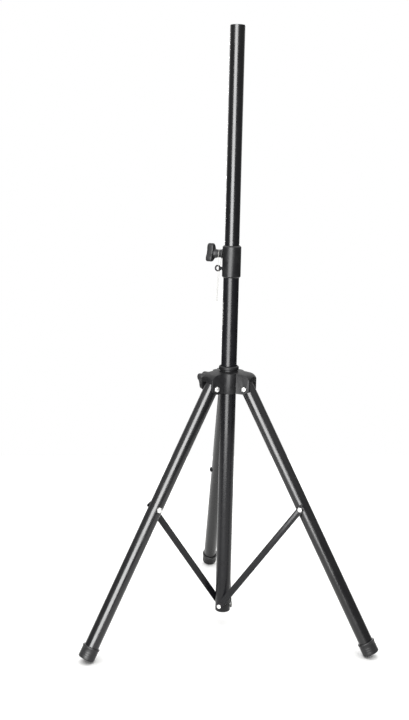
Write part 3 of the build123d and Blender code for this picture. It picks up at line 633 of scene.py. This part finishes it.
def fasteners(name, node, places, chosen, **sizes):
    """One mesh of fasteners, each at a point with its dome along an arrow, for one node of the design."""
    points_mesh = bpy.data.meshes.new(name)
    points_mesh.from_pydata([point for point, direction in places], [], [])
    arrows = points_mesh.attributes.new("arrow", "FLOAT_VECTOR", "POINT")
    for index, (point, direction) in enumerate(places):
        arrows.data[index].vector = direction
    wanted = {"Finish": chosen, **{key.replace("_", " "): value for key, value in sizes.items()}}
    settings = {"node_group": fastener_tree}
    for item in outside.items_tree:
        if item.in_out == "INPUT" and item.name in wanted:
            settings[item.identifier] = wanted[item.name]
    result = modified(points_mesh, "NODES", settings)
    open_edges = closed(result)
    print(name, "fasteners:", len(places), "faces:", len(result.polygons), "open edges:", open_edges)
    return piece_from(result, name, node, chosen)


# %% Rivets and nuts of the hub
rear = LEGS["rear"]
NEAR_AXIS = 8 * MM
HEAD_HEIGHT = 3.4 * MM
HEAD_BASE = 0.9 * MM
NUT_BASE = 2.4 * MM
NUT_SHANK = 4 * MM
pivots = {azimuth: place(azimuth, pivot_radius, hub_pivot.z) for azimuth in LEGS.values()}
shank_start, head_top, head_radius = span("leg_pivot_bolts", hub_pivot, sideways(rear), NEAR_AXIS)
nut_top, nut_foot, nut_radius = span("leg_pivot_nuts", hub_pivot, sideways(rear), NEAR_AXIS)
cheek = head_top - HEAD_HEIGHT
rivet = {
    "Base_Radius": 0.9 * head_radius,
    "Base_Height": HEAD_BASE,
    "Dome_Radius": 0.86 * head_radius,
    "Dome_Height": HEAD_HEIGHT - HEAD_BASE,
}
cap_nut = {
    "Base_Sides": 6,
    "Base_Radius": nut_radius,
    "Base_Height": NUT_BASE,
    "Dome_Radius": nut_radius * 0.84,
    "Dome_Height": nut_foot - nut_top - NUT_BASE,
    "Shank_Length": NUT_SHANK,
}
heads = [(point + sideways(azimuth) * cheek, sideways(azimuth)) for azimuth, point in pivots.items()]
backs = [(point + sideways(azimuth) * nut_foot, -sideways(azimuth)) for azimuth, point in pivots.items()]
fasteners("pivot_rivets", "leg_pivot_bolts", heads, zinc, Shank_Length=cheek - shank_start, **rivet)
fasteners("pivot_cap_nuts", "leg_pivot_nuts", backs, zinc, **cap_nut)
print("a pivot head is, mm across:", round(2000 * head_radius, 1))

# %% Rivets and nuts of the struts
screw_start, screw_top, _ = span("strut_pivot_screws", strut_foot, sideways(rear), NEAR_AXIS)
low_seat = screw_top - HEAD_HEIGHT
low_heads = [(strut_foot + sideways(azimuth) * low_seat, sideways(azimuth)) for azimuth in LEGS.values()]
low_length = low_seat - screw_start
fasteners("strut_foot_screws", "strut_pivot_screws", low_heads, zinc, Shank_Length=low_length, **rivet)
for leg, azimuth in LEGS.items():
    axis = sideways(azimuth)
    point = place(azimuth, strut_bolt.y, strut_bolt.z)
    start, top, _ = span(f"strut_bolt_{leg}", point, axis)
    head = point + axis * (top - HEAD_HEIGHT)
    length = top - HEAD_HEIGHT - start
    # Painted shade: the left strut's rivet is zinc like the others, but gets blackened steel for the shade
    # that it is in.
    chosen = dark_steel if leg == "left" else zinc
    fasteners(f"strut_rivet_{leg}", f"strut_bolt_{leg}", [(head, axis)], chosen, Shank_Length=length, **rivet)
    _, saddle, _ = span(f"strut_nut_{leg}", point, axis)
    sizes = {**cap_nut, "Base_Depth": saddle - start}
    seat = [(point + axis * start, -axis)]
    # Painted shade: the rear strut's cap nut is zinc like the others, but gets blackened steel for the shade
    # that it is in.
    chosen = dark_steel if leg == "rear" else zinc
    fasteners(f"strut_cap_nut_{leg}", f"strut_nut_{leg}", seat, chosen, **sizes)

# %% [markdown]
# ## Turned and moulded rounds
#
# A boot is round about its leg, so half of its outline, turned about the leg's line, gives the whole of it.
# The outline goes up the outside with its grip rings, over the bead at the mouth, and back down the inside,
# where the leg goes in. Each row of the outline becomes a ring of points, and a row on the axis is one point,
# so the shape is closed without a seam.

# %% Turn an outline


def turned(outline, matrix, sides=72, reach=None):
    """A closed mesh from rows of (radius, height), with an optional reach for each angle and row."""
    work = bmesh.new()
    rings = []
    for row, (radius, height) in enumerate(outline):
        if radius == 0:
            rings.append([work.verts.new(matrix @ Vector((0, 0, height)))] * sides)
            continue
        ring = []
        for step in range(sides):
            angle = 2 * pi * step / sides
            away = reach(row, angle) if reach else radius
            ring.append(work.verts.new(matrix @ Vector((away * cos(angle), away * sin(angle), height))))
        rings.append(ring)
    for lower, upper in zip(rings, rings[1:]):
        for step in range(sides):
            after = (step + 1) % sides
            corners = [lower[step], lower[after], upper[after], upper[step]]
            corners = list(dict.fromkeys(corners))
            if len(corners) > 2:
                work.faces.new(corners)
    mesh = bpy.data.meshes.new("turned")
    work.to_mesh(mesh)
    work.free()
    print("rows:", len(outline), "open edges:", closed(mesh))
    return mesh


# %% [markdown]
# ## Rubber boots
#
# Each boot is pushed over the end of its leg. Three shallow rings round it give the fingers a grip when it is
# pulled off, a bead stiffens its mouth, and the sole has ring-shaped treads. The rings are 0.25 mm deep: deep
# enough to catch a soft line of light, and too shallow to change the outline.

# %% Boots
GRIP_RINGS = 3
GRIP_DEPTH = 0.25
GRIP_START, GRIP_PITCH, GRIP_STEP = 9, 5, 0.35
TREAD_RADII = (5.0, 9.0, 13.0)
TREAD_DEPTH = 0.8
BEAD_ROUND, BEAD_SUNK = 1.8, 0.6
LEG_SLACK = 0.05
boot_start, boot_end, bead_radius = span("boot_rear", hub_pivot, leg_line)
_, leg_end, leg_radius = span("leg_tube_rear", hub_pivot, leg_line)
boot_mm = 1000 * (boot_end - boot_start)
wall_mm = 1000 * bead_radius - (BEAD_ROUND - BEAD_SUNK)
leg_mm = 1000 * leg_radius + LEG_SLACK
sole_mm = 1000 * (boot_end - leg_end)


def boot_outline():
    """Radius and height of the boot's outline in millimetres, up from the middle of its sole."""
    rows = [(0, TREAD_DEPTH), (2.6, TREAD_DEPTH)]
    for radius in TREAD_RADII:
        rows += [(radius - 1.5, TREAD_DEPTH), (radius - 1.3, 0), (radius + 1.3, 0)]
        rows.append((radius + 1.5, TREAD_DEPTH))
    rows += [(wall_mm - 3.4, TREAD_DEPTH), (wall_mm - 3.2, 0), (wall_mm - 2.0, 0)]
    rows += [(wall_mm - 2 + 2 * sin(turn), 2 - 2 * cos(turn)) for turn in (0.4, 0.8, 1.2, pi / 2)]
    for ring in range(GRIP_RINGS):
        middle = GRIP_START + GRIP_PITCH * ring
        for step in range(-4, 5):
            depth = GRIP_DEPTH * (1 + cos(pi * step / 4)) / 2
            rows.append((wall_mm - depth, middle + GRIP_STEP * step))
    bead = boot_mm - 4.5
    rows += [(wall_mm, bead - 0.6), (wall_mm + 0.3, bead), (wall_mm + 1.0, bead + 0.7)]
    middle = boot_mm - BEAD_ROUND
    for turn in (0, 0.4, 0.8, 1.2, 1.57):
        away = wall_mm - BEAD_SUNK + BEAD_ROUND * cos(turn)
        rows.append((away, middle + BEAD_ROUND * sin(turn)))
    rows += [(leg_mm + 0.6, boot_mm), (leg_mm, boot_mm - 0.6), (leg_mm, sole_mm), (0, sole_mm)]
    return [(radius * MM, height * MM) for radius, height in rows]


for leg, azimuth in LEGS.items():
    down = leg_axis(azimuth)
    sole = pivots[azimuth] + down * boot_end
    piece_from(turned(boot_outline(), stand_at(sole, -down)), f"rubber_boot_{leg}", f"boot_{leg}")
print("boot, mm:", round(boot_mm, 1), "high,", round(2 * wall_mm, 1), "wide")

# %% [markdown]
# ## Clamp knobs
#
# A clamp knob is one moulding: a tapered neck, and a head with three round lobes that the hand turns. The
# head's outline is one smooth wave round a circle, so it could be a curve that is extruded, but then its rim
# would need a bevel. Here the same rows as for a boot are used, and each row mixes a circle with the wave:
# the neck and the cap are circles, and the head's rim is the wave, drawn in where the rim is rounded.

# %% Knob sections
LOBES = 3
LOBE_SHARPNESS = 1.6
KNOB_TURNS = {"pole_knob": 76.0, "hub_knob": 30.0}
KNOB_REACH = 25.0
KNOB_WAIST = 13.6
NECK_LENGTH = 17.0
RIM_ROUND = 3.4


def knob_rows(length):
    """Rows of (circle radius, height, share of the wave, drawn in by), in millimetres."""
    rows = [(0, 25, 0, 0), (5.05, 25, 0, 0), (5.05, -0.4, 0, 0), (5.5, -0.9, 0, 0), (8.7, -0.9, 0, 0)]
    rows += [(9.2, -0.4, 0, 0), (9.4, 4, 0, 0), (9.7, 10, 0, 0), (10.2, 14.5, 0, 0), (11, 16.4, 0, 0)]
    rows += [(12, NECK_LENGTH, 0.3, RIM_ROUND), (12, NECK_LENGTH, 1, RIM_ROUND)]
    for step in range(1, 7):
        angle = pi / 2 * step / 6
        inset = RIM_ROUND * (1 - sin(angle))
        rows.append((12, NECK_LENGTH + RIM_ROUND * (1 - cos(angle)), 1, inset))
    for step in range(0, 7):
        angle = pi / 2 * step / 6
        inset = RIM_ROUND * (1 - cos(angle))
        rows.append((12, length - 0.5 - RIM_ROUND * (1 - sin(angle)), 1, inset))
    rows += [(12, length - 0.1, 0.5, RIM_ROUND), (10.6, length, 0, 0), (10.2, length - 0.2, 0, 0)]
    rows += [(10.0, length - 0.9, 0, 0), (9.6, length - 0.9, 0, 0), (9.4, length - 0.3, 0, 0)]
    rows += [(8.8, length - 0.05, 0, 0), (4, length, 0, 0), (0, length, 0, 0)]
    return rows


print("rows in a knob:", len(knob_rows(34.0)))

# %% Knobs
for knob, lobe_turn in KNOB_TURNS.items():
    clamp = joints[f"{knob}_turn"]
    middle = UP * clamp["pos_m"][2]
    outwards = radial(CLAMP_AZIMUTH)
    near_end, far_end, knob_reach = span(knob, middle, outwards)
    rows = knob_rows(1000 * (far_end - near_end))

    def knob_reach_at(row, angle):
        """The knob's radius at a row and an angle: a circle, the wave, or a mix of the two."""
        circle, height, share, inset = rows[row]
        crest = (1 + cos(LOBES * (angle - radians(lobe_turn)))) / 2
        wave = KNOB_WAIST + (KNOB_REACH - KNOB_WAIST) * crest ** LOBE_SHARPNESS - inset
        return (circle * (1 - share) + wave * share) * MM

    level = Matrix((-sideways(CLAMP_AZIMUTH), UP, outwards)).transposed().to_4x4()
    matrix = Matrix.Translation(middle + outwards * near_end) @ level
    outline = [(circle * MM, height * MM) for circle, height, share, inset in rows]
    piece_from(turned(outline, matrix, 144, knob_reach_at), f"lobed_{knob}", knob)
    print(knob, "reach, mm:", round(1000 * knob_reach, 1))

# %% [markdown]
# ## The swing tag
#
# The tag is one strip of white card, folded over at its top, with its two leaves a little apart because card
# springs open. A sheet with a slight curl looks like card, where a flat box would not. The strip's line is
# drawn from the front leaf's foot over the fold to the back leaf's foot, and Solidify gives it its paper.

# %% Tag strip
TAG_WIDTH = 14.0
TAG_TOP, TAG_BOTTOM = 832.0, 773.0
TAG_SHIFT = 3.0
TAG_RADIUS = 34.0 + TAG_SHIFT
TAG_PAPER = 0.45
FRONT_SPREAD, BACK_SPREAD = 3.6, 2.6
LEAF_HEIGHT, LEAF_STEPS = 57.5, 14
FOLD_ROUND = 0.5


def beside_knobs(radius, side, height):
    """A point by the clamp knobs, from millimetres: side goes towards the left leg."""
    return place(CLAMP_AZIMUTH, radius * MM, height * MM, -side * MM)


def strip_line():
    """The card's line in (side, height): up the front leaf, over the fold and down the back leaf."""
    climb = [step / LEAF_STEPS for step in range(LEAF_STEPS + 1)]
    heights = [TAG_BOTTOM + LEAF_HEIGHT * share for share in climb]
    front = [FRONT_SPREAD * (1 - share) ** 1.4 + FOLD_ROUND for share in climb]
    back = [-BACK_SPREAD * (1 - share) ** 1.3 - FOLD_ROUND for share in climb]
    turns = (0.5, 1.1, 1.6, 2.1, 2.7)
    fold = [(FOLD_ROUND * cos(turn), TAG_TOP - 1.2 + 0.9 * sin(turn)) for turn in turns]
    return list(zip(front, heights)) + fold + list(zip(back, heights))[::-1]


COLUMNS = 9
strip = bmesh.new()
lines = []
for side, height in strip_line():
    droop = (TAG_TOP - height) / (TAG_TOP - TAG_BOTTOM)
    line = []
    for column in range(COLUMNS):
        share = column / (COLUMNS - 1) - 0.5
        curl = 0.9 * droop * (4 * share * share - 0.3)
        line.append(strip.verts.new(beside_knobs(TAG_RADIUS + TAG_WIDTH * share, side + curl, height)))
    lines.append(line)
for lower, upper in zip(lines, lines[1:]):
    for column in range(COLUMNS - 1):
        strip.faces.new([lower[column], lower[column + 1], upper[column + 1], upper[column]])
strip_mesh = bpy.data.meshes.new("tag")
strip.to_mesh(strip_mesh)
strip.free()
tag_mesh = modified(strip_mesh, "SOLIDIFY", {"thickness": TAG_PAPER * MM, "offset": 0})
print("tag faces:", len(tag_mesh.polygons), "open edges:", closed(tag_mesh))
tag = piece_from(tag_mesh, "swing_tag", "hang_tag", card)

# %% [markdown]
# ## The tag's thread
#
# A thread is a soft thing of a fixed length: both of its ends are knotted at the tag, and the loop between
# them goes up past the pull ring and once round the neck of the pole's clamp knob. It is drawn as one smooth
# curve with the design's own route as its control points, and the curve's bevel gives it its 0.8 mm.

# %% Thread
THREAD_DIAMETER = 0.8
THREAD_ROUTE = [
    (34.0, 1.2, 817.0), (33.6, 2.0, 850.0), (32.4, 3.4, 889.0), (31.6, 6.4, 924.0), (31.0, 10.8, 943.0),
    (30.8, 8.6, 956.4), (31.0, 0.3, 961.2), (31.2, -8.4, 956.6), (31.0, -10.6, 943.5),
    (31.8, -6.0, 923.0), (32.6, -3.2, 888.0), (33.8, -1.8, 849.0), (34.0, -1.0, 817.0),
]
thread_curve = bpy.data.curves.new("tag_string", "CURVE")
thread_curve.dimensions = "3D"
thread_curve.bevel_depth = THREAD_DIAMETER / 2 * MM
thread_curve.bevel_resolution = 3
thread_curve.resolution_u = 8
thread_curve.use_fill_caps = True
spline = thread_curve.splines.new("NURBS")
spline.points.add(len(THREAD_ROUTE) - 1)
for point, (radius, side, height) in zip(spline.points, THREAD_ROUTE):
    hanging = TAG_SHIFT * min(1.0, max(0.0, (930 - height) / 60))
    point.co = (*beside_knobs(radius + hanging, side, height), 1)
spline.order_u = 3
spline.use_endpoint_u = True
thread_curve.materials.append(cotton)
thread = shown("tag_string", thread_curve)
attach(thread, body_of["tag_thread"])
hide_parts("tag_thread")

# %% [markdown]
# ## Floor and light
#
# The stand is on a plain white board. A tall soft box to the left of the camera makes the bright line down
# each tube. The white surround is brighter overhead and behind, as in a studio tent: it lights the board
# until it is as white as the background, and it draws the top edges of the hub. Below the board's edge it is
# dark, so that the black tubes have nothing bright to mirror there and stay black. Only the camera's own
# rays see it as one even white.
#
# The soft box leaves the board out, which is what light linking is for: a board that it lit would be several
# times as bright as white, and would shine back into the tubes. A second, narrow soft box stands straight
# behind the stand: it draws the same line down the tubes for a viewer who walks round it. It leaves out the
# mouldings as well, because their level tops would mirror it to the front and turn white.

# %% Floor
FLOOR_SIZE = 3.0
floor_mesh = bpy.data.meshes.new("floor")
half = FLOOR_SIZE / 2
corners = [(-half, -half, 0), (half, -half, 0), (half, half, 0), (-half, half, 0)]
floor_mesh.from_pydata(corners, [], [(0, 1, 2, 3)])
floor_mesh.materials.append(
    finish("pale_matt_sweep", ("#f9f9f8", "#fdfdfc"), (900, 3.0, 0.5), (0.0, 1.0, 1.0), Roughness=0.95)
)
floor = shown("floor", floor_mesh)
floor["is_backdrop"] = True
print("floor, m:", FLOOR_SIZE)

# %% White surround
BELOW_LIGHT = 0.08
SIDE_LIGHT = 0.25
OVERHEAD_LIGHT = 2.2
BEHIND_LIGHT = 1.0
OVERHEAD_RANGE = (0.3, 0.85)
BEHIND_RANGE = (0.4, 0.9)
HORIZON_WIDTH = 0.04
world = bpy.data.worlds.new("white_surround")
bpy.context.scene.world = world
world.use_nodes = True
surround = world.node_tree
background = surround.nodes["Background"]
towards = add(surround, "ShaderNodeTexCoord").outputs["Generated"]
_, north, height = add(surround, "ShaderNodeSeparateXYZ", Vector=towards).outputs
walls = []
rises = ((height, OVERHEAD_RANGE, OVERHEAD_LIGHT), (north, BEHIND_RANGE, BEHIND_LIGHT))
for value, (start, end), most in rises:
    limits = {"From_Min": start, "From_Max": end, "To_Min": SIDE_LIGHT, "To_Max": most}
    walls.append(add(surround, "ShaderNodeMapRange", Value=value, **limits).outputs[0])
overhead, behind = walls
larger = add(surround, "ShaderNodeMath", {"operation": "MAXIMUM"}, input_0=overhead, input_1=behind)
limits = {"From_Min": -HORIZON_WIDTH, "From_Max": 0.0, "To_Min": BELOW_LIGHT, "To_Max": larger.outputs[0]}
around = add(surround, "ShaderNodeMapRange", Value=height, **limits).outputs[0]
seen_directly = add(surround, "ShaderNodeLightPath").outputs["Is Camera Ray"]
level = add(surround, "ShaderNodeMix", {"data_type": "FLOAT"}, Factor=seen_directly, A=around, B=1.0)
feed(background, Strength=level.outputs[0], Color=(1, 1, 1, 1))
print("surround nodes:", len(surround.nodes))

# %% Soft boxes


def soft_box(name, power, width, height, azimuth, distance, level, aim_height, left_out):
    """An area light that stands round the object, faces the column and leaves some objects unlit."""
    data = bpy.data.lights.new(name, "AREA")
    data.shape = "RECTANGLE"
    data.size = width
    data.size_y = height
    data.energy = power
    lamp = shown(name, data)
    spot = radial(azimuth) * distance + UP * level
    lamp.matrix_world = stand_at(spot, spot - UP * aim_height)
    lamp.visible_camera = False
    unlit = bpy.data.collections.new(f"not_lit_by_{name}")
    for thing in left_out:
        unlit.objects.link(thing)
    for entry in unlit.collection_objects:
        entry.light_linking.link_state = "EXCLUDE"
    lamp.light_linking.receiver_collection = unlit
    return lamp


MOULDINGS = ("softened_hub", "softened_collar", "lobed")
mouldings = [thing for thing in bpy.data.objects if thing.name.startswith(MOULDINGS)]
key = {"power": 112.0, "width": 1.0, "height": 2.15}
key_place = {"azimuth": 249, "distance": 1.35, "level": 1.15, "aim_height": 1.05}
back = {"power": 55.0, "width": 0.5, "height": 2.0}
back_place = {"azimuth": 84, "distance": 2.0, "level": 1.2, "aim_height": 0.9}
soft_box("key_soft_box", **key, **key_place, left_out=[floor])
soft_box("back_soft_box", **back, **back_place, left_out=[floor, *mouldings])
bpy.context.scene.view_settings.view_transform = "Standard"

# %% [markdown]
# ## Two boxes
#
# Two boxes: the design's, and that of everything that is drawn except the floor.

# %% Size and finish
visual_low, visual_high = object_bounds()
sizes = {
    "cad": [list(cad_low), list(cad_high)],
    "visual": [list(visual_low), list(visual_high)],
}
print("visual box, m:", [round(value, 4) for value in (*visual_low, *visual_high)])
